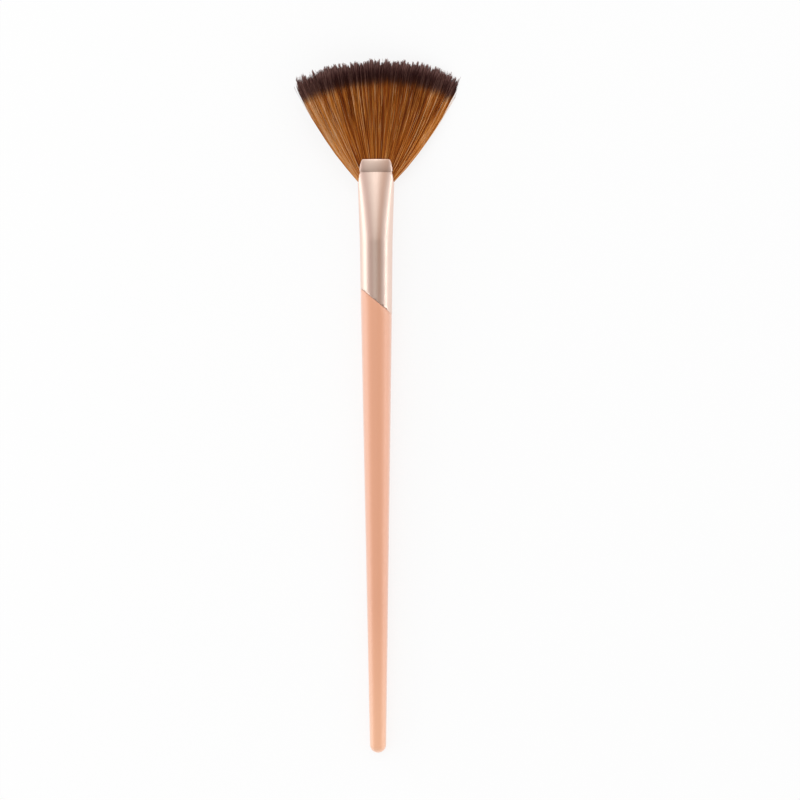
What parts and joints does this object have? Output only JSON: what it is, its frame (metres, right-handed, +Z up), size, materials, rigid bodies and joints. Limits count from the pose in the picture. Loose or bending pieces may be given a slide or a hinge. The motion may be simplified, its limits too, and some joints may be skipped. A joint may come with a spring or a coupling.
{
  "type": "fan makeup brush",
  "caption": "Slim makeup brush with a flat fan of brown bristles with dark tips, a flattened rose gold ferrule with a slanted edge and a tapered peach handle.",
  "frame": {"origin": "on the table that the brush lies on, at the bottom centre of its box", "axes": "+Y along the brush from the handle's tail to the fan, +Z up from the table, +X level, towards the corner of the fan that rests on the table"},
  "size_m": [0.0437, 0.1904, 0.0105],
  "materials": {
    "handle": "satin peach lacquer",
    "ferrule": "satin rose gold",
    "resin": "set adhesive",
    "bristles": "soft brown filaments with dark tips"
  },
  "bodies": {
    "root": {"handle": "handle", "ferrule": "ferrule", "resin_plug": "resin", "bristles": "bristles"}
  },
  "joints": []
}
